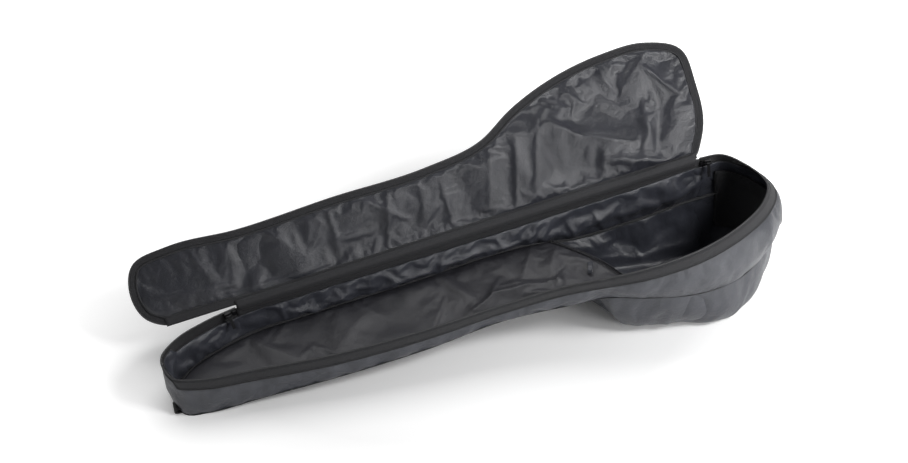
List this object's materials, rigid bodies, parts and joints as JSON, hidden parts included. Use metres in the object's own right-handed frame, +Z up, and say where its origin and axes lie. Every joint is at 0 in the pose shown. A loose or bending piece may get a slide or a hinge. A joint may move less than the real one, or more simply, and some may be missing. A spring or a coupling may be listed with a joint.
{
  "type": "padded gig bag",
  "caption": "Long-necked, bowl-backed padded instrument bag lying open, with a zipped pear-shaped lid hinged along one side.",
  "frame": {"origin": "centre of the bounding box on the ground plane, with the lid open as stored", "axes": "+X from the neck tip to the body end, +Y towards the hinge side, +Z up"},
  "size_m": [1.1752, 0.414, 0.3731],
  "materials": {
    "outer_nylon": "satin",
    "lining_nylon": "satin",
    "foam": "matte",
    "binding": "matte",
    "zip_tape": "matte",
    "zip_coil": "satin",
    "patch": "matte",
    "webbing": "matte",
    "slider_metal": "satin"
  },
  "bodies": {
    "base": {"side_skin_near": "outer_nylon", "side_foam_near": "foam", "side_skin_far": "outer_nylon", "side_foam_far": "foam", "side_skin_neck_tip": "outer_nylon", "side_foam_neck_tip": "foam", "side_skin_body_end": "outer_nylon", "side_foam_body_end": "foam", "side_lining": "lining_nylon", "neck_back_skin": "outer_nylon", "neck_back_foam": "foam", "neck_back_lining": "lining_nylon", "bowl_base_panel": "outer_nylon", "bowl_skin": "outer_nylon", "bowl_foam": "foam", "bowl_lining": "lining_nylon", "neck_seam_binding": "binding", "bowl_seam_binding": "binding", "end_patch": "patch", "base_zip_tape": "zip_tape", "base_zip_coil": "zip_coil", "zip_end_stops": "zip_coil", "hinge_web": "binding", "carry_handle": "webbing", "hang_loop": "webbing"},
    "lid": {"lid_skin": "outer_nylon", "lid_foam": "foam", "lid_lining": "lining_nylon", "lid_edge_binding": "binding", "lid_zip_tape": "zip_tape", "lid_zip_coil": "zip_coil", "hinge_piping": "binding"},
    "neck_slider": {"neck_slider": "slider_metal"},
    "neck_puller": {"neck_puller": "slider_metal"},
    "body_slider": {"body_slider": "slider_metal"},
    "body_puller": {"body_puller": "slider_metal"}
  },
  "joints": [
    {"name": "lid_hinge", "type": "hinge", "parent": "base", "child": "lid", "pos_m": [0.02563, 0.03602, 0.1478], "axis": [-0.9909, 0, -0.1349], "range_deg": [-133.5, 42]},
    {"name": "neck_slider_travel", "type": "slide", "parent": "base", "child": "neck_slider", "axis": [-0.9623, -0.2385, -0.131], "range_m": [0, 0.035]},
    {"name": "body_slider_travel", "type": "slide", "parent": "base", "child": "body_slider", "axis": [0.9527, -0.2747, 0.1297], "range_m": [0, 0.02]},
    {"name": "neck_puller_pivot", "type": "hinge", "parent": "neck_slider", "child": "neck_puller", "pos_m": [-0.43007, 0.02161, 0.08174], "axis": [-0.9623, -0.2385, -0.131], "range_deg": [-5, 65]},
    {"name": "body_puller_pivot", "type": "hinge", "parent": "body_slider", "child": "body_puller", "pos_m": [0.48186, 0.02114, 0.20585], "axis": [-0.9527, 0.2747, -0.1297], "range_deg": [-5, 65]}
  ]
}
